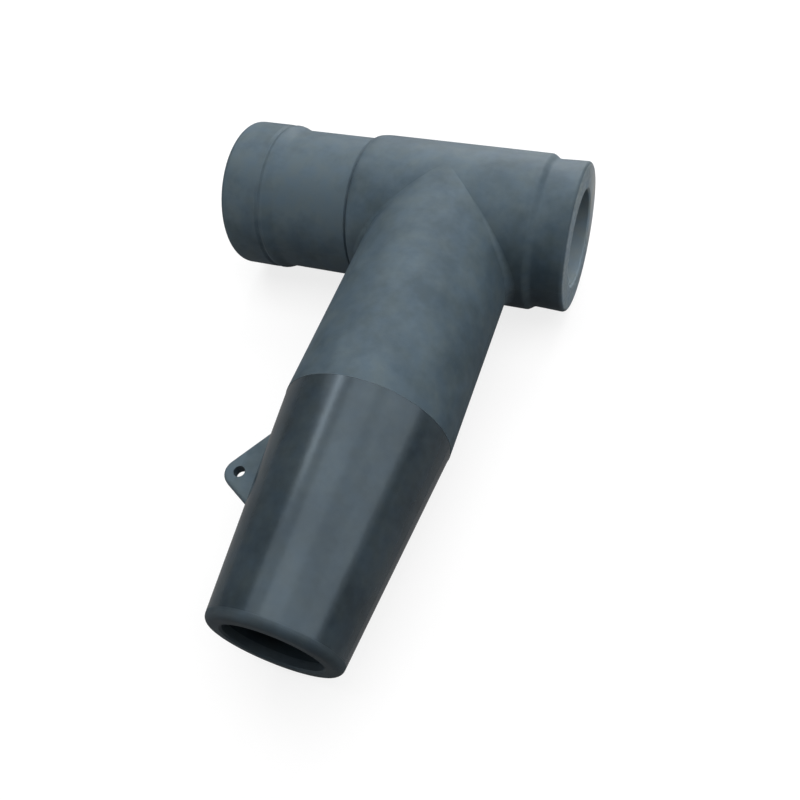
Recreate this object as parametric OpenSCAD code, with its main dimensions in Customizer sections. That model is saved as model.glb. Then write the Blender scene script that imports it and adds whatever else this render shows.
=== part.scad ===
// Elbow surge arrester: a moulded rubber tee with a socket at each end of its
// barrel and an arrester module inside its leg. It lies on its back: the barrel
// runs along X, the leg along -Y, and the origin is where their axes cross.

/* [Barrel] */
// Diameter of the tee section, and of the leg where it joins
tee_d = 90; // [88:0.5:96]
// Diameter of the plain barrel on the bushing side
barrel_d = 84.5; // [80:0.5:86]
// Diameter of the cuff at the bushing end
cuff_d = 89; // [87:0.5:96]
// Diameter of the rear ring at its root
ring_root_d = 85; // [80:0.5:87]
// Diameter of the rear ring at its face
ring_d = 86; // [82:0.5:88]
// Leg axis to the face of the bushing end
bushing_reach = 137; // [130:1:150]
// Length of the cuff, from its face to the groove
cuff_len = 26; // [20:1:30]
// Length of the soft shoulder behind the cuff's groove
shoulder_len = 10.5; // [6:0.5:16]
// Leg axis to the seam beside the tee section
seam_reach = 54; // [50:1:62]
// Length over which the tee section swells up from the seam
seam_swell_len = 9; // [4:0.5:14]
// Height of the seam's own edge above the plain barrel
seam_lip = 1; // [0.5:0.1:1.1]
// Leg axis to where the tee section starts down to the rear ring
tee_reach = 52.5; // [50:0.5:58]
// Length of the soft step down to the rear ring
step_len = 5.5; // [3:0.5:8]
// Leg axis to the face of the rear end
rear_reach = 75.5; // [70:0.5:90]
// Width of the soft groove behind the cuff
cuff_groove_w = 4.4; // [3:0.2:6]
// Width of the seam's groove
seam_groove_w = 2.2; // [1.2:0.2:3]
// Depth of both grooves
groove_depth = 0.9; // [0.4:0.1:1.2]
// Radius of the cuff's outer edge
cuff_edge_r = 4.5; // [2:0.5:6]
// Radius of the rear ring's outer edge
ring_edge_r = 2.4; // [0.8:0.2:3]

/* [Leg] */
// Diameter of the leg just above the crease ring
leg_low_d = 91; // [90.5:0.5:98]
// Barrel axis to the crease ring
crease_reach = 151; // [140:1:165]
// Depth of the step at the crease ring
crease_step = 0.2; // [0.1:0.1:1]
// Barrel axis to the leg's mouth
leg_reach = 272; // [262:1:290]
// Outer diameter of the leg at its mouth, before the edge is rounded
mouth_d = 68; // [64:0.5:76]
// Radius of the mouth's outer edge
mouth_edge_r = 4; // [1:0.5:5]
// Radius of the blend in the crotch of the leg and the barrel
blend_r = 5; // [3:0.5:8]

/* [Sockets] */
// Bore of the cuff, which grips the bushing's collar
cuff_bore_d = 71; // [64:0.5:74]
// Depth of the cuff's bore
cuff_bore_depth = 24; // [18:1:26]
// Mouth of the bushing socket's taper
bushing_socket_d = 56; // [52:0.5:60]
// Mouth of the rear socket's taper
rear_socket_d = 55.5; // [52:0.5:60]
// Half angle of both tapers
taper_angle = 3.2; // [2:0.1:3.6]
// Diameter of the chamber round the line contact
chamber_d = 50; // [48:0.5:54]
// Chamfer round the mouths
mouth_chamfer = 1; // [0.5:0.1:1.5]

/* [Ground eye] */
// Hole of the ground eye
eye_hole_d = 6.2; // [5:0.1:7]
// Radius of the ear round the hole
eye_tip_r = 8.3; // [7:0.1:10]
// Thickness of the ear
eye_t = 6; // [4:0.5:8]
// Rounding of the ear's edges
eye_edge_r = 1.6; // [0.8:0.2:1.8]
// Leg axis to the eye
eye_out = 53.7; // [52:0.1:60]
// Barrel axis to the eye
eye_reach = 194; // [186:0.5:200]
// Rise of the ear's root above the eye, inside the leg's wall
eye_root_up = 47; // [42:1:54]
// Drop of the ear's root below the eye, inside the leg's wall
eye_root_down = 21; // [14:1:26]

/* [Line contact] */
// Thickness of the contact palm, along the barrel
palm_t = 18; // [14:1:20]
// Width of the contact palm
palm_w = 30; // [28:1:31]
// Hole for the line stud
line_hole_d = 17; // [14:0.5:18]
// Diameter of the palm's collar
collar_d = 28; // [26:1:30]
// Length of the collar
collar_len = 16; // [12:1:20]
// Diameter of the palm's threaded stem
stem_d = 16; // [12:1:20]
// Length of the stem
stem_len = 15; // [10:1:18]
// Bore that the palm passes through between the leg and the chamber
passage_d = 36; // [35.5:0.5:40]

/* [Arrester module] */
// Barrel axis to the shoulder that the module seats on
shoulder_reach = 50; // [47:1:56]
// Diameter of a varistor disc
varistor_d = 40; // [38:0.5:42]
// Thickness of a varistor disc
varistor_t = 20; // [18:0.5:21]
// Rounding of a varistor disc's edges
varistor_edge = 0.8; // [0.4:0.1:1.2]
// Wall of the glass-fibre tube
tube_wall = 4.5; // [3.5:0.5:5.5]
// Thickness of the electrodes' flanges
flange_t = 6; // [5:0.5:8]
// Length of the electrodes' spigots inside the tube
spigot_len = 18; // [16:0.5:20]
// Outer diameter of a disc spring
spring_od = 38; // [34:0.5:38]
// Hole of a disc spring
spring_id = 20.4; // [16:0.2:24]
// Thickness of a disc spring
spring_t = 1.5; // [1:0.1:2]
// Height of a disc spring's cone
spring_h = 1.1; // [0.6:0.1:1.6]
// Thickness of the pressure plate under the springs
plate_t = 4; // [3:0.5:6]
// Thickness of the spacer under the discs
spacer_t = 8; // [5:0.5:12]
// Thickness of a seal ring
seal_cs = 2.4; // [1.8:0.1:3]
// Diameter of a tube pin
pin_d = 4; // [3:0.1:5]
// Depth of a tube pin in its electrode
pin_depth = 6; // [4:0.5:8]

/* [Earth stud] */
// Diameter of the earth stud
stud_d = 12; // [10:0.5:14]
// Length of the stud below the electrode
stud_out = 28; // [27:0.5:34]
// Depth of the stud in the electrode
stud_in = 15; // [12:0.5:18]
// Diameter of the plain washer
washer_d = 24; // [22:0.5:28]
// Thickness of the plain washer
washer_t = 2.5; // [2:0.1:3]
// Diameter of the lock washer
lock_d = 20.5; // [20:0.1:21.5]
// Thickness of the lock washer
lock_t = 2.6; // [2:0.1:3]
// Width of the nut across its flats
nut_af = 18; // [17:0.5:21]
// Height of the nut
nut_h = 10; // [8:0.5:11]
// Chamfer at the stud's ends
stud_chamfer = 1.2; // [0.5:0.1:2]

/* [Fits] */
// Gap between the tube and the leg's bore
tube_gap = 0.2; // [0.1:0.05:0.4]
// Gap between the discs and the tube
varistor_gap = 0.3; // [0.2:0.05:0.5]
// Gap round the spigots in the tube
spigot_gap = 0.1; // [0.05:0.05:0.2]
// Gap round threads and pins
thread_gap = 0.05; // [0.02:0.01:0.1]
// Gap round the stud in its washers
washer_gap = 0.5; // [0.3:0.1:0.8]

/* [Hidden] */

// Smoothness of round faces, and steps along a drawn curve
$fn = 96;
curve_steps = 8;
small_fn = 48;
hull_fn = 32;
// Levels of the leg's blend, and the angle up and down that they reach
blend_levels = 30;
blend_open = 66;
// Steps round the blend's corner, and the angle at which it leaves the round faces
blend_steps = 6;
blend_cross = 10;
// How fast the blend's radius falls from the crotch up, as a power of the cosine
blend_fall = 2.5;
// Depth of the blend's root in the tee, and share of the radius at its ends
blend_root = 3;
blend_end = 0.9;
// Steps round the ear's edges
ear_steps = 4;
// Radius of the nut's faces, as a share of half its width across flats
nut_face = 0.96;
// Room between the contact palm and the ends of its chamber
chamber_clear = 4;
// Overlap of cutting shapes past the face that they open
past = 1;

rubber = "#56666f";
tinned = "#b9bcc0";
alu = "#c3c7cb";
steel = "#9aa0a6";
zinc_oxide = "#3d3f45";
glass_fibre = "#c9b779";
seal_rubber = "#1d1f22";

tee_r = tee_d / 2;
barrel_r = barrel_d / 2;
cuff_r = cuff_d / 2;
ring_root_r = ring_root_d / 2;
ring_r = ring_d / 2;
groove_x = -(bushing_reach - cuff_len);
leg_low_r = leg_low_d / 2;
mouth_r = mouth_d / 2;
cone_top_r = leg_low_r - crease_step;

// The module, outwards from its discs
tube_ir = varistor_d / 2 + varistor_gap;
tube_or = tube_ir + tube_wall;
leg_bore_r = tube_or + tube_gap;
spigot_r = tube_ir - spigot_gap;

// The module's pieces, down the leg from the shoulder
flange_at = shoulder_reach;
tube_at = flange_at + flange_t;
spring_at = tube_at + spigot_len;
spring_pitch = spring_t + spring_h;
plate_at = spring_at + 2 * spring_pitch;
stack_at = plate_at + plate_t;
stack_count = 5;
spacer_at = stack_at + stack_count * varistor_t;
bottom_at = spacer_at + spacer_t;
tube_end = bottom_at + spigot_len;
module_end = tube_end + flange_t;

// Pins and seals, measured from the tube's end towards the spigot's tip
pin_in = pin_d * 1.4;
seal_in = spigot_len - seal_cs * 2;
seal_groove_w = seal_cs * 1.25;
pin_count = 3;
pin_turn = 360 / pin_count;

// A rounded corner or a bead, as points round a centre
function arc(cx, cy, r, a0, a1) = [
    for (i = [0 : curve_steps])
        let (a = a0 + (a1 - a0) * i / curve_steps)
        [cx + r * cos(a), cy + r * sin(a)]
];

// A soft dip at one radius, up to the point where the next piece starts
function dip(r, at, w, depth) = [
    for (i = [0 : curve_steps - 1])
        let (t = i / curve_steps)
        [r - depth * (1 - cos(360 * t)) / 2, at + w * (t - 1 / 2)]
];

// A soft step between two radii, flat at both ends
function soft_step(r0, at0, r1, at1) = [
    for (i = [0 : curve_steps])
        let (t = i / curve_steps)
        [r0 + (r1 - r0) * (1 - cos(180 * t)) / 2, at0 + (at1 - at0) * t]
];

// A swell that starts steep and ends flat, as the tee section does at the seam
function swell(r0, at0, r1, at1) = [
    for (i = [0 : curve_steps])
        let (a = 90 * i / curve_steps)
        [r0 + (r1 - r0) * sin(a), at0 + (at1 - at0) * (1 - cos(a))]
];

// Where a line from a point touches a circle, on the side given by turn
function tangent_point(p, c, r, turn) =
    let (
        d = norm(c - p),
        toward = atan2(p[1] - c[1], p[0] - c[0]),
        a = toward + turn * acos(r / d)
    )
    [c[0] + r * cos(a), c[1] + r * sin(a)];

// Places what is drawn along Z along the barrel or down the leg
module along_barrel(x = 0) rotate([0, 90, 0]) translate([0, 0, x]) children();
module down_leg(d = 0) rotate([90, 0, 0]) translate([0, 0, d]) children();

// Outside of the barrel: cuff, groove, shoulder, plain barrel, seam, tee, rear ring
module barrel_outside() {
    half_seam = seam_groove_w / 2;
    profile = concat(
        [[0, -bushing_reach]],
        arc(cuff_r - cuff_edge_r, -bushing_reach + cuff_edge_r, cuff_edge_r, -90, 0),
        dip(cuff_r, groove_x, cuff_groove_w, groove_depth),
        soft_step(cuff_r, groove_x + cuff_groove_w / 2, barrel_r, groove_x + shoulder_len),
        [[barrel_r, -seam_reach - half_seam], [barrel_r - groove_depth, -seam_reach]],
        swell(barrel_r + seam_lip, -seam_reach + half_seam, tee_r, -seam_reach + seam_swell_len),
        soft_step(tee_r, tee_reach, ring_root_r, tee_reach + step_len),
        arc(ring_r - ring_edge_r, rear_reach - ring_edge_r, ring_edge_r, 0, 90),
        [[0, rear_reach]]
    );
    along_barrel() rotate_extrude() polygon(profile);
}

// Outside of the leg: a straight upper part, a crease ring and a cone to the mouth
module leg_outside() {
    profile = concat(
        [[0, 0], [tee_r, 0], [tee_r, tee_r], [leg_low_r, crease_reach], [cone_top_r, crease_reach]],
        arc(mouth_r - mouth_edge_r, leg_reach - mouth_edge_r, mouth_edge_r, 0, 90),
        [[0, leg_reach]]
    );
    down_leg() rotate_extrude() polygon(profile);
}

// Where a blend's corner runs at one level, in the plane of the two axes. Both
// round faces are the tee's radius times the level's cosine away from their axes
// there, and the corner's own radius falls off faster than that.
function blend_section(a, shrink) =
    let (
        face = tee_r * cos(a) * shrink,
        r = blend_r * pow(cos(a), blend_fall) * shrink,
        root = face - blend_root * cos(a),
        reach = face + r * (1 - sin(blend_cross))
    )
    concat(
        [[root, -root], [root, -reach]],
        [
            for (i = [0 : blend_steps])
                let (b = blend_cross + (90 - 2 * blend_cross) * i / blend_steps)
                [face + r * (1 - cos(b)), -face - r * (1 - sin(b))]
        ],
        [[reach, -root]]
    );

// Rubber that fills the crease between the leg and the barrel on one side, in
// levels from below to above. The last ones dive into the tee.
module leg_blend(side) {
    turn = 2 * blend_open / blend_levels;
    sections = [
        for (i = [0 : blend_levels])
            let (a = i * turn - blend_open, is_end = i == 0 || i == blend_levels)
            [for (p = blend_section(a, is_end ? blend_end : 1 / cos(turn / 2))) [side * p[0], p[1], tee_r * sin(a)]]
    ];
    n = len(sections[0]);
    walls = [
        for (i = [0 : blend_levels - 1])
            for (j = [0 : n - 1])
                let (k = (j + 1) % n, low = i * n, high = low + n)
                each [[low + j, low + k, high + j], [low + k, high + k, high + j]]
    ];
    caps = [[for (j = [n - 1 : -1 : 0]) j], [for (j = [0 : n - 1]) blend_levels * n + j]];
    faces = concat(walls, caps);
    points = [for (section = sections) each section];
    // The faces run clockwise from outside on the -X side, and are turned round on the other
    polyhedron(points, side < 0 ? faces : [for (f = faces) [for (j = [len(f) - 1 : -1 : 0]) f[j]]]);
}

// Outline of the ear, drawn smaller by an inset all round
module ear_outline(inset) {
    centre = [-eye_out, -eye_reach];
    up = [-mouth_r, -eye_reach + eye_root_up];
    down = [-mouth_r, -eye_reach - eye_root_down];
    up_normal = (tangent_point(up, centre, eye_tip_r, 1) - centre) / eye_tip_r;
    down_normal = (tangent_point(down, centre, eye_tip_r, -1) - centre) / eye_tip_r;
    tip_r = eye_tip_r - inset;
    polygon([
        up - inset * up_normal,
        centre + tip_r * up_normal,
        centre,
        centre + tip_r * down_normal,
        down - inset * down_normal
    ]);
    translate(centre) circle(tip_r, $fn = hull_fn);
}

// Flat ear with rounded edges in the mould's parting plane
module ground_eye() {
    hull()
        for (i = [0 : ear_steps])
            let (a = 90 * i / ear_steps)
            linear_extrude(eye_t - 2 * eye_edge_r * (1 - sin(a)), center = true)
                ear_outline(eye_edge_r * (1 - cos(a)));
}

// Everything that is open inside the tee
module tee_bores() {
    slope = tan(taper_angle);
    bushing_r = bushing_socket_d / 2;
    rear_r = rear_socket_d / 2;
    cuff_bore_r = cuff_bore_d / 2;
    chamber_x = palm_t / 2 + chamber_clear;
    taper_from = -bushing_reach + cuff_bore_depth;
    along_barrel() rotate_extrude() polygon([
        [0, -bushing_reach - past],
        [cuff_bore_r + mouth_chamfer + past, -bushing_reach - past],
        [cuff_bore_r, -bushing_reach + mouth_chamfer],
        [cuff_bore_r, taper_from],
        [bushing_r, taper_from],
        [bushing_r - slope * (-chamber_x - taper_from), -chamber_x],
        [chamber_d / 2, -chamber_x],
        [chamber_d / 2, chamber_x],
        [rear_r - slope * (rear_reach - chamber_x), chamber_x],
        [rear_r - slope * mouth_chamfer, rear_reach - mouth_chamfer],
        [rear_r + mouth_chamfer + past, rear_reach + past],
        [0, rear_reach + past]
    ]);
    down_leg() cylinder(h = shoulder_reach + past, d = passage_d);
    down_leg(shoulder_reach) cylinder(h = leg_reach, r = leg_bore_r);
    down_leg(leg_reach - mouth_chamfer)
        cylinder(h = mouth_chamfer + past, r1 = leg_bore_r, r2 = leg_bore_r + mouth_chamfer + past);
}

module housing() {
    color(rubber) difference() {
        union() {
            barrel_outside();
            leg_outside();
            leg_blend(1);
            leg_blend(-1);
            ground_eye();
        }
        tee_bores();
        translate([-eye_out, -eye_reach, -eye_t]) cylinder(h = 2 * eye_t, d = eye_hole_d);
    }
}

// Eye-ended contact that the line stud clamps, screwed into the module
module line_contact() {
    palm_end = shoulder_reach - collar_len;
    color(tinned) difference() {
        union() {
            along_barrel(-palm_t / 2) cylinder(h = palm_t, d = palm_w);
            translate([-palm_t / 2, -palm_end, -palm_w / 2]) cube([palm_t, palm_end, palm_w]);
            down_leg(palm_end) cylinder(h = collar_len, d = collar_d);
            down_leg(shoulder_reach) cylinder(h = stem_len, d = stem_d);
        }
        along_barrel(-palm_t / 2 - past) cylinder(h = palm_t + 2 * past, d = line_hole_d);
    }
}

// Closing piece of the tube: a flange, a spigot with its seal groove and pin
// holes, and a tapped hole. It is drawn flange first, along Z.
module electrode(hole_d, hole_depth) {
    groove_from = flange_t + seal_in - seal_groove_w / 2;
    color(alu) difference() {
        rotate_extrude() polygon([
            [0, 0],
            [tube_or, 0],
            [tube_or, flange_t],
            [spigot_r, flange_t],
            [spigot_r, groove_from],
            [tube_ir - seal_cs, groove_from],
            [tube_ir - seal_cs, groove_from + seal_groove_w],
            [spigot_r, groove_from + seal_groove_w],
            [spigot_r, flange_t + spigot_len],
            [0, flange_t + spigot_len]
        ]);
        translate([0, 0, -past]) cylinder(h = hole_depth + past, d = hole_d + 2 * thread_gap);
        for (i = [1 : pin_count])
            tube_pin_place(i, flange_t + pin_in)
                cylinder(h = pin_depth + tube_wall + past, d = pin_d + 2 * thread_gap, $fn = small_fn);
    }
}

// Puts a pin's axis across the tube, its inner end in the electrode
module tube_pin_place(i, at)
    rotate([0, 0, i * pin_turn]) translate([tube_ir - pin_depth, 0, at]) rotate([0, 90, 0]) children();

module top_electrode() down_leg(flange_at) electrode(stem_d, stem_len);
module bottom_electrode() down_leg(module_end) mirror([0, 0, 1]) electrode(stud_d, stud_in);

module seal_ring() {
    color(seal_rubber) rotate_extrude() translate([tube_ir - seal_cs / 2, 0])
        circle(d = seal_cs - 2 * thread_gap, $fn = small_fn);
}

module top_seal() down_leg(tube_at + seal_in) seal_ring();
module bottom_seal() down_leg(tube_end - seal_in) seal_ring();

// Dished washer, resting on the face of its hole's edge at the bottom
module disc_spring() {
    color(steel) rotate_extrude() polygon([
        [spring_id / 2, 0],
        [spring_od / 2, spring_h],
        [spring_od / 2, spring_h + spring_t],
        [spring_id / 2, spring_t]
    ]);
}

module disc_spring_upper() down_leg(spring_at) disc_spring();
module disc_spring_lower() down_leg(plate_at) mirror([0, 0, 1]) disc_spring();

module pressure_plate() {
    color(alu) down_leg(plate_at) cylinder(h = plate_t, d = varistor_d);
}

// Sintered disc with rounded edges
module varistor(i) {
    r = varistor_d / 2;
    e = varistor_edge;
    color(zinc_oxide) down_leg(stack_at + (i - 1) * varistor_t) rotate_extrude() polygon([
        [0, 0],
        [r - e, 0],
        [r, e],
        [r, varistor_t - e],
        [r - e, varistor_t],
        [0, varistor_t]
    ]);
}

module spacer() {
    color(alu) down_leg(spacer_at) cylinder(h = spacer_t, d = varistor_d);
}

module module_tube() {
    color(glass_fibre) difference() {
        down_leg(tube_at) cylinder(h = tube_end - tube_at, r = tube_or);
        down_leg(tube_at - past) cylinder(h = tube_end - tube_at + 2 * past, r = tube_ir);
        for (i = [1 : pin_count]) {
            pin_hole(i, tube_at + pin_in);
            pin_hole(i, tube_end - pin_in);
        }
    }
}

module pin_hole(i, at)
    down_leg() tube_pin_place(i, at)
        cylinder(h = pin_depth + tube_wall + past, d = pin_d + 2 * thread_gap, $fn = small_fn);

// Pin flush with the tube's outside
module tube_pin(i, at) {
    color(steel) down_leg() tube_pin_place(i, at) cylinder(h = pin_depth + tube_wall, d = pin_d, $fn = small_fn);
}

module earth_stud() {
    r = stud_d / 2;
    length = stud_in + stud_out;
    color(steel) down_leg(module_end - stud_in) rotate_extrude() polygon([
        [0, 0],
        [r - stud_chamfer, 0],
        [r, stud_chamfer],
        [r, length - stud_chamfer],
        [r - stud_chamfer, length],
        [0, length]
    ]);
}

module earth_washer() {
    color(steel) down_leg(module_end) difference() {
        cylinder(h = washer_t, d = washer_d);
        translate([0, 0, -past]) cylinder(h = washer_t + 2 * past, d = stud_d + 2 * washer_gap);
    }
}

// Split spring washer, closed up flat under the nut
module earth_lock_washer() {
    color(steel) down_leg(module_end + washer_t) difference() {
        cylinder(h = lock_t, d = lock_d);
        translate([0, 0, -past]) cylinder(h = lock_t + 2 * past, d = stud_d + 2 * washer_gap);
        translate([0, -washer_gap, -past]) cube([lock_d, 2 * washer_gap, lock_t + 2 * past]);
    }
}

// Hexagon nut whose corners are turned off at 30 degrees on both faces
module earth_nut() {
    corner_r = nut_af / 2 / cos(30);
    face_r = nut_af / 2 * nut_face;
    cut = (corner_r + past - face_r) * tan(30);
    color(steel) down_leg(module_end + washer_t + lock_t) difference() {
        intersection() {
            cylinder(h = nut_h, r = corner_r, $fn = 6);
            rotate_extrude() polygon([
                [0, 0],
                [face_r, 0],
                [corner_r + past, cut],
                [corner_r + past, nut_h - cut],
                [face_r, nut_h],
                [0, nut_h]
            ]);
        }
        translate([0, 0, -past]) cylinder(h = nut_h + 2 * past, d = stud_d + 2 * thread_gap);
    }
}

housing();
line_contact();
top_electrode();
top_seal();
disc_spring_upper();
disc_spring_lower();
pressure_plate();
varistor(1);  // varistor_1
varistor(2);  // varistor_2
varistor(3);  // varistor_3
varistor(4);  // varistor_4
varistor(5);  // varistor_5
spacer();
bottom_electrode();
bottom_seal();
module_tube();
tube_pin(1, tube_at + pin_in);  // top_pin_1
tube_pin(2, tube_at + pin_in);  // top_pin_2
tube_pin(3, tube_at + pin_in);  // top_pin_3
tube_pin(1, tube_end - pin_in);  // bottom_pin_1
tube_pin(2, tube_end - pin_in);  // bottom_pin_2
tube_pin(3, tube_end - pin_in);  // bottom_pin_3
earth_stud();
earth_washer();
earth_lock_washer();
earth_nut();
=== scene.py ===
"""Looks of an elbow surge arrester that lies on its back: a moulded rubber tee
with a socket at each end of its barrel and an arrester module inside its leg."""

import math

import bpy
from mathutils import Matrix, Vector


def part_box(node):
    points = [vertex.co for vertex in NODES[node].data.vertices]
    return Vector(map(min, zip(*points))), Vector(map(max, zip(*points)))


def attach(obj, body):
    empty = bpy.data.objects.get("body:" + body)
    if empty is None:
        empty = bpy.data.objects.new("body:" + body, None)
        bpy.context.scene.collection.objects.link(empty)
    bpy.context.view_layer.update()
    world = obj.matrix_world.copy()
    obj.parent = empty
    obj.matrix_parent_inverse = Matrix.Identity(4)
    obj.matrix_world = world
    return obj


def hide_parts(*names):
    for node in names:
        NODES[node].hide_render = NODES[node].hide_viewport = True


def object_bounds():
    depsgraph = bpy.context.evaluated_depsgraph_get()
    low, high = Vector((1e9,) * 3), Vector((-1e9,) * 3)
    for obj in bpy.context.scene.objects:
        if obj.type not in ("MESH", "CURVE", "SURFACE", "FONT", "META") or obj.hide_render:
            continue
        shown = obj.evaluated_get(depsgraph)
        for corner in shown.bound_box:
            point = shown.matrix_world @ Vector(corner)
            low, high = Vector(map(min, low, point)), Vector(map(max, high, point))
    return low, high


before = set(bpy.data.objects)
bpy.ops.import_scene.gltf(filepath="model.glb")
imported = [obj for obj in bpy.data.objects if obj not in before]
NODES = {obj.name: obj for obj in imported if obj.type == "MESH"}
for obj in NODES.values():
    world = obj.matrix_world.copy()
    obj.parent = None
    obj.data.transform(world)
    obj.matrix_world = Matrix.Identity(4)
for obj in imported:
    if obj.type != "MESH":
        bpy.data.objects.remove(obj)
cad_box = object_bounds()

MM = 0.001

# Sockets of a Mix node, by number because their names repeat: its two numbers, its
# two colours, and the colour that comes out
NUMBER_A = 2
NUMBER_B = 3
COLOUR_A = 6
COLOUR_B = 7
COLOUR_OUT = 2

# Places on the moulding that its finishes follow, in millimetres
SEAM_AT = 54.0
CREASE_AT = 151.0
REAR_FACE_AT = 75.5
CONE_TOP_R = 45.3
MOUTH_R = 34.0
MOUTH_AT = 272.0
MOUTH_EDGE = 4.0
BARREL_WALL_AT = 39.0
LEG_WALL_AT = 30.0
TEE_BOTTOM_AT = 45.0
SOCKET_R = 28.6
CHAMBER_END = 13.0

# How far proud of the cone the ear's root ends and its matt finish starts, in
# millimetres
EAR_ROOT_AT = 0.8
EAR_MATT_AT = 1.6

# Where along Y the torn rear face starts to grow paler with painted light, and
# where it is palest, in millimetres
PALE_FROM = 20.0
PALEST_AT = 36.0

# Fades, in millimetres: to each side of the crease ring, out from its lip, out from
# the parting line, in from the rear face, on from the seam and on from the mouth's
# trimmed edge. The last is how close to the lip, line or face its finish is full.
CREASE_FADE = 0.1
LIP_FADE = 0.12
PARTING_FADE = 0.3
REAR_FADE = 0.5
SEAM_FADE = 0.5
MOUTH_FADE = 1.0
FULL_WITHIN = 0.05

# Widths of the patterns in the rubber, in millimetres: clouds of bloom, smudges,
# shifts of hue, crumbs, and the blasted grain, drawn coarser so that it shows
BLOOM_W = 25.0
SMUDGE_W = 5.0
DRIFT_W = 9.0
CRUMB_W = 2.5
GRAIN_W = 0.9

# How far the clouds of bloom are moved, in millimetres, to lie about where the real
# ones do
BLOOM_MOVED = (370, 610, 230)

# A noise pattern lies mostly between these values
NOISE_LOW = 0.3
NOISE_HIGH = 0.7

# Sizes of the module's pieces that their finishes follow, in millimetres
DISC_R = 20.0
SPRING_R = 19.0
TUBE_R = 24.8
BAND_W = 5.0


def linear(code):
    """The linear colour of an sRGB hex code."""
    parts = [int(code[i:i + 2], 16) / 255 for i in (1, 3, 5)]
    return [c / 12.92 if c <= 0.04045 else ((c + 0.055) / 1.055) ** 2.4 for c in parts] + [1.0]


def add(tree, kind, inputs=None, **settings):
    """Adds a node. Settings are its properties, and inputs go to its sockets by
    name or number: a value is set there, and another node's output is linked."""
    node = tree.nodes.new(kind)
    for name, value in settings.items():
        setattr(node, name, value)
    for socket, value in (inputs or {}).items():
        if isinstance(value, bpy.types.NodeSocket):
            tree.links.new(value, node.inputs[socket])
        else:
            node.inputs[socket].default_value = value
    return node


def new_material(name):
    """A material with an empty node tree."""
    material = bpy.data.materials.new(name)
    material.use_nodes = True
    tree = material.node_tree
    tree.nodes.clear()
    return material, tree


def off_axis(tree, axes, along):
    """How far a point is from an axis: the leg's runs along Y, the barrel's along X."""
    across = {name: axes[name] for name in ("X", "Y", "Z") if name != along}
    flat = add(tree, "ShaderNodeCombineXYZ", across)
    return add(tree, "ShaderNodeVectorMath", {0: flat.outputs[0]}, operation="LENGTH").outputs["Value"]


def parting_line(tree, axes):
    """The mould's parting line: 1 where its flash was trimmed off, on the outside
    only, about half a millimetre wide, in the plane of the two axes."""
    beside = add(tree, "ShaderNodeMath", {0: axes["Z"]}, operation="ABSOLUTE")
    line = add(tree, "ShaderNodeMapRange", {
        "Value": beside.outputs[0], "From Min": PARTING_FADE * MM, "From Max": FULL_WITHIN * MM,
    }, interpolation_type="SMOOTHSTEP")
    off_barrel = add(tree, "ShaderNodeMath", {0: axes["Y"]}, operation="ABSOLUTE")
    on_barrel = add(tree, "ShaderNodeMath", {0: off_barrel.outputs[0], 1: BARREL_WALL_AT * MM},
                    operation="GREATER_THAN")
    off_leg = add(tree, "ShaderNodeMath", {0: axes["X"]}, operation="ABSOLUTE")
    beside_leg = add(tree, "ShaderNodeMath", {0: off_leg.outputs[0], 1: LEG_WALL_AT * MM},
                     operation="GREATER_THAN")
    in_leg = add(tree, "ShaderNodeMath", {0: axes["Y"], 1: -TEE_BOTTOM_AT * MM}, operation="LESS_THAN")
    barrel_part = add(tree, "ShaderNodeMath", {0: on_barrel.outputs[0], 1: in_leg.outputs[0]},
                      operation="SUBTRACT", use_clamp=True)
    leg_part = add(tree, "ShaderNodeMath", {0: beside_leg.outputs[0], 1: in_leg.outputs[0]},
                   operation="MULTIPLY")
    outside = add(tree, "ShaderNodeMath", {0: barrel_part.outputs[0], 1: leg_part.outputs[0]},
                  operation="MAXIMUM")
    return add(tree, "ShaderNodeMath", {0: line.outputs[0], 1: outside.outputs[0]},
               operation="MULTIPLY").outputs[0]


def cone_masks(tree, axes):
    """Three masks of the leg's cone: where it is polished, below the crease ring and
    apart from the ear on its side, where it shines, short of its trimmed mouth, and
    where the lip of the crease ring, a step of 0.2 mm, gets painted light, as the
    ledge lies in shade."""
    below = add(tree, "ShaderNodeMapRange", {
        "Value": axes["Y"],
        "From Min": (-CREASE_AT + CREASE_FADE) * MM, "From Max": (-CREASE_AT - CREASE_FADE) * MM,
    })
    cone_r = add(tree, "ShaderNodeMapRange", {
        "Value": axes["Y"],
        "From Min": -CREASE_AT * MM, "From Max": -MOUTH_AT * MM,
        "To Min": CONE_TOP_R * MM, "To Max": MOUTH_R * MM,
    })
    proud = add(tree, "ShaderNodeMath", {0: off_axis(tree, axes, "Y"), 1: cone_r.outputs[0]},
                operation="SUBTRACT")
    on_cone = add(tree, "ShaderNodeMapRange", {
        "Value": proud.outputs[0], "From Min": EAR_MATT_AT * MM, "From Max": EAR_ROOT_AT * MM,
    })
    polished = add(tree, "ShaderNodeMath", {0: below.outputs[0], 1: on_cone.outputs[0]},
                   operation="MULTIPLY")
    off_edge = add(tree, "ShaderNodeMapRange", {
        "Value": axes["Y"],
        "From Min": (MOUTH_EDGE - MOUTH_AT) * MM, "From Max": (MOUTH_EDGE + MOUTH_FADE - MOUTH_AT) * MM,
    })
    shiny = add(tree, "ShaderNodeMath", {0: polished.outputs[0], 1: off_edge.outputs[0]},
                operation="MULTIPLY")
    from_crease = add(tree, "ShaderNodeMath", {0: axes["Y"], 1: CREASE_AT * MM}, operation="ADD")
    off_lip = add(tree, "ShaderNodeMath", {0: from_crease.outputs[0]}, operation="ABSOLUTE")
    at_lip = add(tree, "ShaderNodeMapRange", {
        "Value": off_lip.outputs[0], "From Min": LIP_FADE * MM, "From Max": FULL_WITHIN * MM,
    })
    # Painted light: the lip of the crease ring is a ledge in shade, painted paler
    wear_and_painted_light = add(tree, "ShaderNodeMath", {0: at_lip.outputs[0], 1: on_cone.outputs[0]},
                 operation="MULTIPLY")
    return polished.outputs[0], shiny.outputs[0], wear_and_painted_light.outputs[0]


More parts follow.
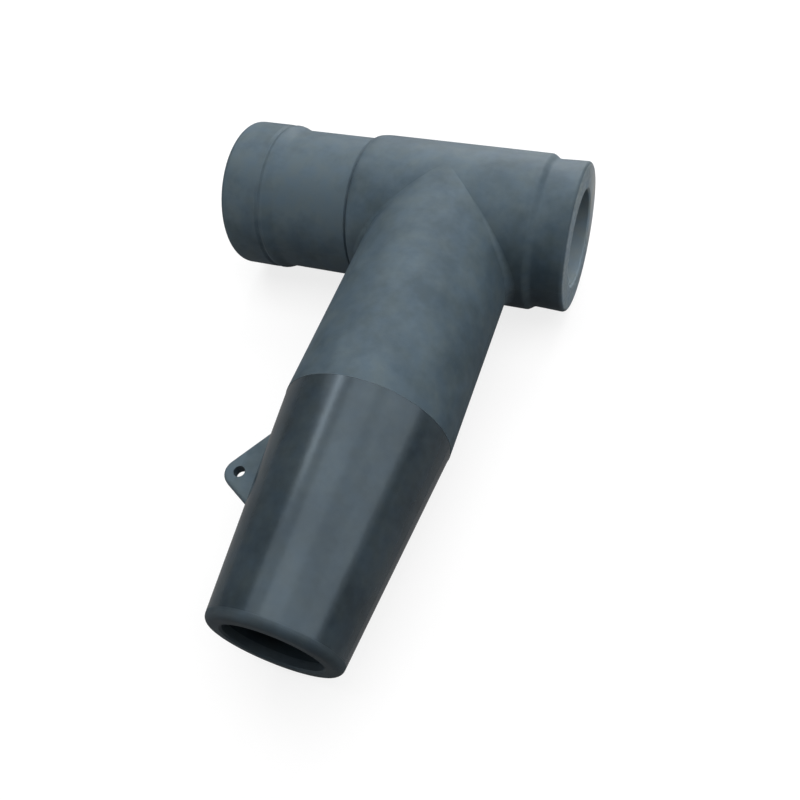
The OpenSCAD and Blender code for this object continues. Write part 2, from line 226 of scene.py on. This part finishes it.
def talc_and_painted_light(tree, axes):
    """Where the sockets are dusted with talc, to keep the rubber from sticking to
    its plug, and painted paler as painted light shining into the bores."""
    in_socket = add(tree, "ShaderNodeMath", {0: off_axis(tree, axes, "X"), 1: SOCKET_R * MM},
                    operation="LESS_THAN")
    from_leg_plane = add(tree, "ShaderNodeMath", {0: axes["X"]}, operation="ABSOLUTE")
    past_chamber = add(tree, "ShaderNodeMath", {0: from_leg_plane.outputs[0], 1: CHAMBER_END * MM},
                       operation="GREATER_THAN")
    return add(tree, "ShaderNodeMath", {0: in_socket.outputs[0], 1: past_chamber.outputs[0]},
               operation="MULTIPLY").outputs[0]


def bloom_and_painted_light(tree, place, axes, smudges):
    """How pale the rubber is, from 0 to 1: clouds of wax bloom, with smudges in them,
    and a shade paler on the barrel beyond its seam, which is painted light."""
    moved = add(tree, "ShaderNodeMapping", {"Vector": place, "Location": [v * MM for v in BLOOM_MOVED]})
    bloom = add(tree, "ShaderNodeTexNoise", {"Vector": moved.outputs[0], "Scale": 1 / (BLOOM_W * MM),
                                             "Detail": 3.0, "Roughness": 0.55})
    cloud = add(tree, "ShaderNodeMix", {
        "Factor": 0.25, NUMBER_A: bloom.outputs["Fac"], NUMBER_B: smudges,
    }, data_type="FLOAT")
    # Painted light: the barrel beyond the seam is a shade paler, where more light falls
    lit_beyond_seam = add(tree, "ShaderNodeMapRange", {
        "Value": axes["X"],
        "From Min": -SEAM_AT * MM, "From Max": -(SEAM_AT + SEAM_FADE) * MM, "To Max": 0.1,
    })
    bloom_plus_light = add(tree, "ShaderNodeMath", {0: cloud.outputs[0], 1: lit_beyond_seam.outputs[0]}, operation="ADD")
    return add(tree, "ShaderNodeMapRange", {
        "Value": bloom_plus_light.outputs[0], "From Min": 0.36, "From Max": 0.64,
    }).outputs[0]


def torn_and_lit_colour(tree, axes, crumbs):
    """The colour of the torn rear face: crumbly, and paler than the moulding, partly from
    the tearing and partly as painted light, and palest on the side away from the leg,
    which is painted light."""
    # Paler than the moulding: partly the tearing, partly painted light
    torn_at = add(tree, "ShaderNodeMapRange", {"Value": crumbs, "From Min": 0.38, "From Max": 0.62})
    torn = add(tree, "ShaderNodeMix", {
        "Factor": torn_at.outputs[0], COLOUR_A: linear("#69757d"), COLOUR_B: linear("#7e8991"),
    }, data_type="RGBA")
    # Painted light: palest on the side away from the leg
    painted_light_side = add(tree, "ShaderNodeMapRange", {
        "Value": axes["Y"], "From Min": PALE_FROM * MM, "From Max": PALEST_AT * MM, "To Max": 0.9,
    })
    return add(tree, "ShaderNodeMix", {
        "Factor": painted_light_side.outputs[0], COLOUR_A: torn.outputs[COLOUR_OUT], COLOUR_B: linear("#a6a8a9"),
    }, data_type="RGBA").outputs[COLOUR_OUT]


def epdm_rubber():
    """Peroxide-cured conductive EPDM, compression moulded in a blasted tool: matt,
    slate grey, faintly clouded by its wax bloom, and a shade paler beyond the barrel's
    seam, which is painted light. The lower leg was moulded against polished steel, so
    it is darker and shines, apart from its trimmed mouth, and the lip of its crease ring
    is painted paler, which is painted light. The rear face was torn off its flash, which
    leaves it crumbly, and it is painted paler, partly for the tearing and partly as
    painted light, palest on the side away from the leg. The sockets are dusted with
    talc, and painted paler as painted light in the bores."""
    material, tree = new_material("epdm_rubber_moulded")
    place = add(tree, "ShaderNodeTexCoord").outputs["Object"]
    axes = add(tree, "ShaderNodeSeparateXYZ", {0: place}).outputs
    polished, shiny, wear_and_painted_light = cone_masks(tree, axes)
    torn_off = add(tree, "ShaderNodeMapRange", {
        "Value": axes["X"],
        "From Min": (REAR_FACE_AT - REAR_FADE) * MM, "From Max": (REAR_FACE_AT - FULL_WITHIN) * MM,
    }).outputs[0]
    smudges = add(tree, "ShaderNodeTexNoise", {"Vector": place, "Scale": 1 / (SMUDGE_W * MM), "Detail": 3.0})
    crumbs = add(tree, "ShaderNodeTexNoise", {"Vector": place, "Scale": 1 / (CRUMB_W * MM), "Detail": 4.0})

    # One finish over another: moulded matt or polished, painted light on the crease's lip, talc and painted
    # light in the sockets, then the torn face
    # Clouds of bloom, with painted light on the barrel beyond the seam
    clouded = bloom_and_painted_light(tree, place, axes, smudges.outputs["Fac"])
    matt = add(tree, "ShaderNodeMix", {
        "Factor": clouded, COLOUR_A: linear("#323e46"), COLOUR_B: linear("#455159"),
    }, data_type="RGBA")
    sleek = add(tree, "ShaderNodeMix", {
        "Factor": clouded, COLOUR_A: linear("#252d33"), COLOUR_B: linear("#323b41"),
    }, data_type="RGBA")
    moulded = add(tree, "ShaderNodeMix", {
        "Factor": polished, COLOUR_A: matt.outputs[COLOUR_OUT], COLOUR_B: sleek.outputs[COLOUR_OUT],
    }, data_type="RGBA")
    # The crease's lip is painted paler: painted light on a ledge that lies in shade
    lip_in_painted_light = add(tree, "ShaderNodeMix", {
        "Factor": wear_and_painted_light, COLOUR_A: moulded.outputs[COLOUR_OUT], COLOUR_B: linear("#5d6971"),
    }, data_type="RGBA")
    # The sockets are paler: talc dust, and painted light shining into the bores
    dusted_and_lit = add(tree, "ShaderNodeMix", {
        "Factor": talc_and_painted_light(tree, axes), COLOUR_A: lip_in_painted_light.outputs[COLOUR_OUT], COLOUR_B: linear("#76828a"),
    }, data_type="RGBA")
    colour = add(tree, "ShaderNodeMix", {
        "Factor": torn_off,
        COLOUR_A: dusted_and_lit.outputs[COLOUR_OUT], COLOUR_B: torn_and_lit_colour(tree, axes, crumbs.outputs["Fac"]),
    }, data_type="RGBA")

    # A faint shift between blue and green all over
    drift = add(tree, "ShaderNodeTexNoise", {"Vector": place, "Scale": 1 / (DRIFT_W * MM), "Detail": 5.0})
    drifting = add(tree, "ShaderNodeMapRange", {
        "Value": drift.outputs["Fac"], "From Min": 0.35, "From Max": 0.65,
    })
    hue = add(tree, "ShaderNodeMix", {
        "Factor": drifting.outputs[0], COLOUR_A: linear("#f3faff"), COLOUR_B: linear("#fffdf5"),
    }, data_type="RGBA")
    tinted = add(tree, "ShaderNodeMix", {
        "Factor": 1.0, COLOUR_A: colour.outputs[COLOUR_OUT], COLOUR_B: hue.outputs[COLOUR_OUT],
    }, data_type="RGBA", blend_type="MULTIPLY")

    # The skin is never quite flat, the tool's grain is fainter where it was polished,
    # and trimmed flash stands a tenth of a millimetre proud
    uneven = add(tree, "ShaderNodeBump", {"Height": smudges.outputs["Fac"], "Distance": 0.045 * MM})
    grain = add(tree, "ShaderNodeTexNoise", {"Vector": place, "Scale": 1 / (GRAIN_W * MM), "Detail": 2.0})
    blasted = add(tree, "ShaderNodeMapRange", {"Value": polished, "To Min": 1.0, "To Max": 0.2})
    grained = add(tree, "ShaderNodeBump", {
        "Height": grain.outputs["Fac"], "Distance": 0.04 * MM, "Strength": blasted.outputs[0],
        "Normal": uneven.outputs[0],
    })
    crumbled = add(tree, "ShaderNodeBump", {
        "Height": crumbs.outputs["Fac"], "Distance": 0.25 * MM, "Strength": torn_off,
        "Normal": grained.outputs[0],
    })
    bump = add(tree, "ShaderNodeBump", {
        "Height": parting_line(tree, axes), "Distance": 0.1 * MM, "Normal": crumbled.outputs[0],
    })
    roughness = add(tree, "ShaderNodeMapRange", {"Value": shiny, "To Min": 0.6, "To Max": 0.2})
    shader = add(tree, "ShaderNodeBsdfPrincipled", {
        "Base Color": tinted.outputs[COLOUR_OUT], "Roughness": roughness.outputs[0],
        "Normal": bump.outputs[0], "IOR": 1.5, "Specular Tint": linear("#c8dcea"),
    })
    add(tree, "ShaderNodeOutputMaterial", {"Surface": shader.outputs[0]})
    return material


def finish_metal(tree, pattern, colour, glossiest, dullest, depth_mm, metallic=1.0):
    """Ends a metal's tree. A fine pattern varies its roughness between two values and
    stands out by its depth."""
    rough = add(tree, "ShaderNodeMapRange", {
        "Value": pattern, "From Min": NOISE_LOW, "From Max": NOISE_HIGH,
        "To Min": glossiest, "To Max": dullest,
    })
    bump = add(tree, "ShaderNodeBump", {"Height": pattern, "Distance": depth_mm * MM})
    shader = add(tree, "ShaderNodeBsdfPrincipled", {
        "Base Color": colour, "Metallic": metallic, "Roughness": rough.outputs[0],
        "Normal": bump.outputs[0],
    })
    add(tree, "ShaderNodeOutputMaterial", {"Surface": shader.outputs[0]})


def tin_plating():
    """Tin, matt electroplated on a machined copper palm: silvery, softly clouded by
    its oxide, with the fine crystals that keep it matt."""
    material, tree = new_material("tin_matt_plated")
    place = add(tree, "ShaderNodeTexCoord").outputs["Object"]
    cloud = add(tree, "ShaderNodeTexNoise", {"Vector": place, "Scale": 1 / (9 * MM), "Detail": 5.0})
    colour = add(tree, "ShaderNodeMix", {
        "Factor": cloud.outputs["Fac"], COLOUR_A: linear("#aeb0b1"), COLOUR_B: linear("#c9cac9"),
    }, data_type="RGBA")
    crystals = add(tree, "ShaderNodeTexNoise", {"Vector": place, "Scale": 1 / (0.5 * MM), "Detail": 2.0})
    finish_metal(tree, crystals.outputs["Fac"], colour.outputs[COLOUR_OUT], 0.36, 0.52, 0.01)
    return material


def turned_metal(name, code, roughness, feed_mm):
    """Metal turned or ground in rings round the leg's axis: the tool's feed leaves
    fine rings on faces and bands on round sides, which draw the light out across them.
    The pins stand out from that axis, so the bands go round them too."""
    material, tree = new_material(name)
    place = add(tree, "ShaderNodeTexCoord").outputs["Object"]
    axes = add(tree, "ShaderNodeSeparateXYZ", {0: place}).outputs
    from_axis = off_axis(tree, axes, "Y")
    along_tool = add(tree, "ShaderNodeMath", {0: from_axis, 1: axes["Y"]}, operation="ADD")
    rings = add(tree, "ShaderNodeTexNoise", {"W": along_tool.outputs[0], "Scale": 1 / (feed_mm * MM),
                                             "Detail": 3.0}, noise_dimensions="1D")
    finish_metal(tree, rings.outputs["Fac"], linear(code), roughness - 0.06, roughness + 0.08, 0.012)
    return material


def rolled_steel():
    """Stainless A2 fasteners, pressed and rolled cold: a soft grey shine with the
    fine pits that barrel tumbling leaves."""
    material, tree = new_material("stainless_steel_tumbled")
    place = add(tree, "ShaderNodeTexCoord").outputs["Object"]
    pits = add(tree, "ShaderNodeTexNoise", {"Vector": place, "Scale": 1 / (0.7 * MM), "Detail": 4.0})
    finish_metal(tree, pits.outputs["Fac"], linear("#a2a5a7"), 0.22, 0.38, 0.01)
    return material


def phosphated_steel():
    """Hardened spring steel with a black manganese phosphate coat: dark, matt and
    finely crystalline, worn bare at the rim that the springs meet on."""
    material, tree = new_material("spring_steel_phosphated")
    place = add(tree, "ShaderNodeTexCoord").outputs["Object"]
    axes = add(tree, "ShaderNodeSeparateXYZ", {0: place}).outputs
    from_axis = off_axis(tree, axes, "Y")
    crystals = add(tree, "ShaderNodeTexNoise", {"Vector": place, "Scale": 1 / (0.4 * MM), "Detail": 3.0})
    wear_and_painted_light = add(tree, "ShaderNodeMapRange", {
        "Value": from_axis, "From Min": (SPRING_R - 0.6) * MM, "From Max": (SPRING_R - 0.1) * MM,
    })
    colour = add(tree, "ShaderNodeMix", {
        "Factor": wear_and_painted_light.outputs[0], COLOUR_A: linear("#3c3d3f"), COLOUR_B: linear("#77797b"),
    }, data_type="RGBA")
    finish_metal(tree, crystals.outputs["Fac"], colour.outputs[COLOUR_OUT], 0.48, 0.66, 0.01, metallic=0.8)
    return material


def zinc_oxide():
    """Sintered zinc oxide disc: a glassy olive collar fired on its rim, and matt
    arc-sprayed aluminium on both faces, short of the edge, with bare dark ceramic
    between them."""
    material, tree = new_material("zinc_oxide_sintered")
    place = add(tree, "ShaderNodeTexCoord").outputs["Object"]
    axes = add(tree, "ShaderNodeSeparateXYZ", {0: place}).outputs
    from_axis = off_axis(tree, axes, "Y")
    sprayed = add(tree, "ShaderNodeMapRange", {
        "Value": from_axis, "From Min": (DISC_R - 1.5) * MM, "From Max": (DISC_R - 1.7) * MM,
    })
    glazed = add(tree, "ShaderNodeMapRange", {
        "Value": from_axis, "From Min": (DISC_R - 0.7) * MM, "From Max": (DISC_R - 0.5) * MM,
    })
    spray = add(tree, "ShaderNodeTexNoise", {"Vector": place, "Scale": 1 / (0.6 * MM), "Detail": 4.0})
    pooled = add(tree, "ShaderNodeTexNoise", {"Vector": place, "Scale": 1 / (7 * MM), "Detail": 3.0})
    glaze = add(tree, "ShaderNodeMix", {
        "Factor": pooled.outputs["Fac"], COLOUR_A: linear("#40423a"), COLOUR_B: linear("#5a5a4c"),
    }, data_type="RGBA")
    ceramic = add(tree, "ShaderNodeMix", {
        "Factor": glazed.outputs[0], COLOUR_A: linear("#35363a"), COLOUR_B: glaze.outputs[COLOUR_OUT],
    }, data_type="RGBA")
    colour = add(tree, "ShaderNodeMix", {
        "Factor": sprayed.outputs[0], COLOUR_A: ceramic.outputs[COLOUR_OUT], COLOUR_B: linear("#b4b7b9"),
    }, data_type="RGBA")
    bare_rough = add(tree, "ShaderNodeMapRange", {"Value": glazed.outputs[0], "To Min": 0.7, "To Max": 0.16})
    rough = add(tree, "ShaderNodeMix", {
        "Factor": sprayed.outputs[0], NUMBER_A: bare_rough.outputs[0], NUMBER_B: 0.6,
    }, data_type="FLOAT")
    bump = add(tree, "ShaderNodeBump", {
        "Height": spray.outputs["Fac"], "Distance": 0.03 * MM, "Strength": sprayed.outputs[0],
    })
    shader = add(tree, "ShaderNodeBsdfPrincipled", {
        "Base Color": colour.outputs[COLOUR_OUT], "Metallic": sprayed.outputs[0],
        "Roughness": rough.outputs[0], "Normal": bump.outputs[0],
    })
    add(tree, "ShaderNodeOutputMaterial", {"Surface": shader.outputs[0]})
    return material


def wound_glass_fibre():
    """Glass rovings wound wet with epoxy at 55 degrees, cured and left as wound:
    honey coloured and glossy, with 5 mm bands that cross both ways."""
    material, tree = new_material("glass_fibre_epoxy_wound")
    place = add(tree, "ShaderNodeTexCoord").outputs["Object"]
    axes = add(tree, "ShaderNodeSeparateXYZ", {0: place}).outputs
    turn = add(tree, "ShaderNodeMath", {0: axes["X"], 1: axes["Z"]}, operation="ARCTAN2")
    lean = math.radians(55)
    bands_round = round(math.tau * TUBE_R * math.cos(lean) / BAND_W)
    phase_round = add(tree, "ShaderNodeMath", {0: turn.outputs[0], 1: float(bands_round)},
                      operation="MULTIPLY")
    phase_along = add(tree, "ShaderNodeMath", {0: axes["Y"], 1: math.tau * math.sin(lean) / (BAND_W * MM)},
                      operation="MULTIPLY")
    crossing = []
    for way in ("ADD", "SUBTRACT"):
        phase = add(tree, "ShaderNodeMath", {0: phase_round.outputs[0], 1: phase_along.outputs[0]},
                    operation=way)
        wave = add(tree, "ShaderNodeMath", {0: phase.outputs[0]}, operation="SINE")
        crossing.append(wave.outputs[0])
    weave = add(tree, "ShaderNodeMath", {0: crossing[0], 1: crossing[1]}, operation="MAXIMUM")
    fibres = add(tree, "ShaderNodeTexNoise", {"Vector": place, "Scale": 1 / (1.2 * MM), "Detail": 4.0})
    height = add(tree, "ShaderNodeMath", {0: fibres.outputs["Fac"], 1: weave.outputs[0]}, operation="ADD")
    shade = add(tree, "ShaderNodeMapRange", {"Value": height.outputs[0], "From Min": -0.4, "From Max": 1.6})
    colour = add(tree, "ShaderNodeMix", {
        "Factor": shade.outputs[0], COLOUR_A: linear("#a8904e"), COLOUR_B: linear("#cfc08a"),
    }, data_type="RGBA")
    bump = add(tree, "ShaderNodeBump", {"Height": height.outputs[0], "Distance": 0.06 * MM})
    shader = add(tree, "ShaderNodeBsdfPrincipled", {
        "Base Color": colour.outputs[COLOUR_OUT], "Roughness": 0.28, "IOR": 1.55, "Normal": bump.outputs[0],
        "Coat Weight": 0.5, "Coat Roughness": 0.12,
    })
    add(tree, "ShaderNodeOutputMaterial", {"Surface": shader.outputs[0]})
    return material


def nitrile_rubber():
    """Black nitrile sealing ring, moulded smooth and lightly greased."""
    material, tree = new_material("nitrile_rubber_moulded")
    place = add(tree, "ShaderNodeTexCoord").outputs["Object"]
    grease = add(tree, "ShaderNodeTexNoise", {"Vector": place, "Scale": 1 / (3 * MM), "Detail": 3.0})
    rough = add(tree, "ShaderNodeMapRange", {
        "Value": grease.outputs["Fac"], "From Min": 0.35, "From Max": 0.65, "To Min": 0.22, "To Max": 0.5,
    })
    shader = add(tree, "ShaderNodeBsdfPrincipled", {
        "Base Color": linear("#1b1c1e"), "Roughness": rough.outputs[0], "IOR": 1.52,
    })
    add(tree, "ShaderNodeOutputMaterial", {"Surface": shader.outputs[0]})
    return material


RUBBER = epdm_rubber()
TIN = tin_plating()
ALUMINIUM = turned_metal("aluminium_turned", "#c3c7cb", 0.32, 0.35)
PIN_STEEL = turned_metal("stainless_steel_ground", "#a9acae", 0.2, 0.2)
FASTENER_STEEL = rolled_steel()
SPRING_STEEL = phosphated_steel()
CERAMIC = zinc_oxide()
GLASS_FIBRE = wound_glass_fibre()
NITRILE = nitrile_rubber()


# Corners closer than this are joined, and edges sharper than this angle are broken
WELD_WITHIN = 0.002 * MM
EDGE_ANGLE = math.radians(40)


def give(names, material, bevel_mm=0.0):
    """Gives CAD nodes a material. A bevel takes the sharpness off their edges."""
    for name in names:
        node = NODES[name]
        node.data.materials.clear()
        node.data.materials.append(material)
        if not bevel_mm:
            continue
        weld = node.modifiers.new("joined", "WELD")
        weld.merge_threshold = WELD_WITHIN
        bevel = node.modifiers.new("broken edges", "BEVEL")
        bevel.width = bevel_mm * MM
        bevel.segments = 2
        bevel.limit_method = "ANGLE"
        bevel.angle_limit = EDGE_ANGLE
        shade = node.modifiers.new("even shading", "WEIGHTED_NORMAL")
        shade.keep_sharp = False


PIN_COUNT = 3
DISC_COUNT = 5

give(["housing"], RUBBER)
give(["line_contact"], TIN, bevel_mm=0.6)
give(["top_electrode", "bottom_electrode", "pressure_plate", "spacer"], ALUMINIUM, bevel_mm=0.25)
give(["top_seal", "bottom_seal"], NITRILE)
give(["disc_spring_upper", "disc_spring_lower"], SPRING_STEEL, bevel_mm=0.2)
give([f"varistor_{i + 1}" for i in range(DISC_COUNT)], CERAMIC)
give(["module_tube"], GLASS_FIBRE)
give([f"{end}_pin_{i + 1}" for end in ("top", "bottom") for i in range(PIN_COUNT)], PIN_STEEL, bevel_mm=0.3)
give(["earth_washer", "earth_lock_washer", "earth_nut"], FASTENER_STEEL, bevel_mm=0.25)


def select_only(piece):
    """Selects one piece and makes it the one that operators act on."""
    bpy.ops.object.select_all(action="DESELECT")
    piece.select_set(True)
    bpy.context.view_layer.objects.active = piece


def threaded_rod(name, low, high, radius, pitch, chamfer):
    """A rod along Y with a rolled 60 degree thread. One turn of the thread is drawn
    as a line of root, flank, crest and flank, screwed along the rod, cut off flat and
    cut back to chamfered ends."""
    depth = 5 / 8 * math.sqrt(3) / 2 * pitch
    turn_line = ((0, 1 / 4), (depth, 5 / 16), (0, 1 / 8), (-depth, 5 / 16))
    steps_round = 48
    bpy.ops.object.select_all(action="DESELECT")
    bpy.ops.mesh.primitive_plane_add(size=pitch, location=(radius - depth, low - pitch, 0))
    rod = bpy.context.object
    rod.name = name
    bpy.ops.object.transform_apply(location=True)
    bpy.ops.object.mode_set(mode="EDIT")
    bpy.ops.mesh.select_all(action="SELECT")
    bpy.ops.mesh.merge(type="CENTER")
    for out, along in turn_line:
        bpy.ops.mesh.extrude_vertices_move(TRANSFORM_OT_translate={"value": (out, along * pitch, 0)})
    bpy.ops.object.mode_set(mode="OBJECT")
    screw = rod.modifiers.new("thread", "SCREW")
    screw.axis = "Y"
    screw.screw_offset = pitch
    screw.iterations = math.ceil((high - low) / pitch) + 2
    screw.steps = screw.render_steps = steps_round
    select_only(rod)
    bpy.ops.object.modifier_apply(modifier=screw.name)
    bpy.ops.object.mode_set(mode="EDIT")
    bpy.ops.mesh.select_all(action="SELECT")
    bpy.ops.mesh.remove_doubles(threshold=0.001 * MM)
    for cut, facing in ((low, -1), (high, 1)):
        bpy.ops.mesh.select_all(action="SELECT")
        bpy.ops.mesh.bisect(plane_co=(0, cut, 0), plane_no=(0, facing, 0), use_fill=True, clear_outer=True)
    bpy.ops.mesh.select_all(action="SELECT")
    bpy.ops.mesh.normals_make_consistent(inside=False)
    bpy.ops.object.mode_set(mode="OBJECT")

    # Blank with chamfered ends, half a millimetre larger all round than the thread
    room = 0.5 * MM
    bpy.ops.object.select_all(action="DESELECT")
    bpy.ops.mesh.primitive_cylinder_add(
        vertices=2 * steps_round, radius=radius + room, depth=high - low,
        location=(0, (low + high) / 2, 0), rotation=(math.pi / 2, 0, 0),
    )
    blank = bpy.context.object
    bpy.ops.object.transform_apply(location=True, rotation=True)
    bpy.ops.object.mode_set(mode="EDIT")
    bpy.ops.mesh.select_mode(type="FACE")
    bpy.ops.mesh.select_all(action="DESELECT")
    bpy.ops.object.mode_set(mode="OBJECT")
    for face in blank.data.polygons:
        face.select = abs(face.normal.y) > 0.9
    bpy.ops.object.mode_set(mode="EDIT")
    bpy.ops.mesh.region_to_loop()
    bpy.ops.mesh.bevel(offset=chamfer + room, segments=1)
    bpy.ops.object.mode_set(mode="OBJECT")
    cut_back = rod.modifiers.new("chamfered ends", "BOOLEAN")
    cut_back.operation = "INTERSECT"
    cut_back.solver = "EXACT"
    cut_back.object = blank
    select_only(rod)
    bpy.ops.object.modifier_apply(modifier=cut_back.name)
    bpy.data.objects.remove(blank)
    bpy.ops.object.shade_smooth_by_angle(angle=math.radians(25))
    return rod


# Earth stud: M12 with a coarse thread over its whole length
STUD_PITCH = 1.75 * MM
STUD_CHAMFER = 1.2 * MM
stud_low, stud_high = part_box("earth_stud")
stud = threaded_rod("earth_stud_threaded", stud_low.y, stud_high.y, stud_high.x, STUD_PITCH, STUD_CHAMFER)
stud.data.materials.clear()
stud.data.materials.append(FASTENER_STEEL)
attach(stud, "root")
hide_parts("earth_stud")


# How bright the floor looks to the camera, and what share of the white surroundings
# reflections show, because the real moulding reflects little of them. Then the
# floor's width in metres and how strongly the sky lights the object.
FLOOR_WHITE = 0.8
GLOSSY_SHARE = 0.1
FLOOR_SIZE = 12.0
SKY_LIGHT = 0.06


def shown_white(tree):
    """How much of the white surroundings a ray sees: all of it from the camera or
    through glass, a share of it in reflections, and none as light on the object."""
    path = add(tree, "ShaderNodeLightPath")
    glossy = add(tree, "ShaderNodeMath", {0: path.outputs["Is Glossy Ray"], 1: GLOSSY_SHARE},
                 operation="MULTIPLY")
    through = add(tree, "ShaderNodeMath", {0: path.outputs["Is Transmission Ray"], 1: glossy.outputs[0]},
                  operation="MAXIMUM")
    return add(tree, "ShaderNodeMath", {0: path.outputs["Is Camera Ray"], 1: through.outputs[0]},
               operation="MAXIMUM").outputs[0]


def stage():
    """A plain pale floor that the object lies on. The camera sees it white, with the
    object's shadow on it, and its grey paint throws some light back at the object."""
    bpy.ops.object.select_all(action="DESELECT")
    bpy.ops.mesh.primitive_plane_add(size=FLOOR_SIZE, location=(0, 0, cad_box[0].z))
    floor = bpy.context.object
    floor.name = "floor"
    material, tree = new_material("floor_painted")
    paint = add(tree, "ShaderNodeBsdfDiffuse", {"Color": linear("#6c6c6c")})
    white = add(tree, "ShaderNodeEmission", {"Color": linear("#ffffff"), "Strength": FLOOR_WHITE})
    faint = add(tree, "ShaderNodeBsdfDiffuse", {"Color": linear("#7c7c7c")})
    seen = add(tree, "ShaderNodeAddShader", {0: faint.outputs[0], 1: white.outputs[0]})
    mix = add(tree, "ShaderNodeMixShader", {0: shown_white(tree), 1: paint.outputs[0], 2: seen.outputs[0]})
    add(tree, "ShaderNodeOutputMaterial", {"Surface": mix.outputs[0]})
    floor.data.materials.append(material)


def soft_box(name, place, facing, width, height, level):
    """A flat lit panel at a place, turned to face another. Its width lies level, and
    its level is how bright it looks, where 1 is as bright as white paper."""
    lamp = bpy.data.lights.new(name, "AREA")
    lamp.shape = "RECTANGLE"
    lamp.size = width
    lamp.size_y = height
    lamp.energy = math.pi * width * height * level
    box = bpy.data.objects.new(name, lamp)
    bpy.context.scene.collection.objects.link(box)
    box.location = place
    box.rotation_mode = "QUATERNION"
    box.rotation_quaternion = (place - facing).to_track_quat("Z", "Y")


# How far off the lamps stand, what the boxes face and how wide a box is, in metres
LAMP_AT = 1.2
MIDDLE = Vector((0, -0.1, 0))
BOX_SIZE = 0.8


def box_round(name, azimuth, elevation, level):
    """A square soft box round the object. Azimuth goes from +Y, behind, towards +X."""
    flat = math.cos(math.radians(elevation))
    toward = Vector((
        math.sin(math.radians(azimuth)) * flat,
        math.cos(math.radians(azimuth)) * flat,
        math.sin(math.radians(elevation)),
    ))
    soft_box(name, MIDDLE + LAMP_AT * toward, MIDDLE, BOX_SIZE, BOX_SIZE, level)


def bank_panel(name, start, end, level, front=-0.5, back=0.35):
    """One panel of the bank that arches over the object, between two angles from
    upright towards +X, and two places along Y."""
    half = math.radians(end - start) / 2
    lean = math.radians(start + end) / 2
    under = Vector((0, (front + back) / 2, 0))
    toward = Vector((math.sin(lean), 0, math.cos(lean)))
    soft_box(name, under + LAMP_AT * math.cos(half) * toward, under,
             back - front, 2 * LAMP_AT * math.sin(half), level)


stage()

# The bank draws the long tones of the leg and its cone, and the boxes light the
# barrel's far side and ends, and the left of the leg
bank_panel("bank_edge", -36, -29, 4.2, front=0.05, back=0.6)
bank_panel("bank_left", -39, -15, 1.6)
bank_panel("bank_top", -15, 16, 3.1)
bank_panel("bank_right", 16, 45, 2.25)
bank_panel("bank_low_right", 45, 75, 2.0)
box_round("back_box", 0, 35, 3.5)
box_round("low_back_box", 0, 10, 3.1)
box_round("left_back_box", 315, 40, 1.5)
box_round("right_back_box", 45, 40, 0.9)
box_round("left_front_box", 225, 15, 1.9)
box_round("right_box", 90, 25, 0.6)

world = bpy.data.worlds.new("studio")
bpy.context.scene.world = world
world.use_nodes = True
sky = world.node_tree
sky.nodes.clear()
dim = add(sky, "ShaderNodeBackground", {"Color": linear("#ffffff"), "Strength": SKY_LIGHT})
white = add(sky, "ShaderNodeBackground", {"Color": linear("#ffffff"), "Strength": 1.0})
finish = add(sky, "ShaderNodeMixShader", {0: shown_white(sky), 1: dim.outputs[0], 2: white.outputs[0]})
add(sky, "ShaderNodeOutputWorld", {"Surface": finish.outputs[0]})

# The photograph's viewpoint, worked out from the object's outline in it: lens and
# sensor in millimetres, place in millimetres and turn in degrees
LENS = 37.908
SENSOR_W = 36.0
CAMERA_AT = (146.1, -345.1, 361.9)
CAMERA_TURN = (34.007, 8.634, 19.687)
camera = bpy.data.cameras.new("camera")
camera.lens = LENS
camera.sensor_width = SENSOR_W
camera_object = bpy.data.objects.new("camera", camera)
bpy.context.scene.collection.objects.link(camera_object)
camera_object.location = [v * MM for v in CAMERA_AT]
camera_object.rotation_euler = [math.radians(v) for v in CAMERA_TURN]
bpy.context.scene.camera = camera_object
bpy.context.scene.view_settings.view_transform = "Standard"
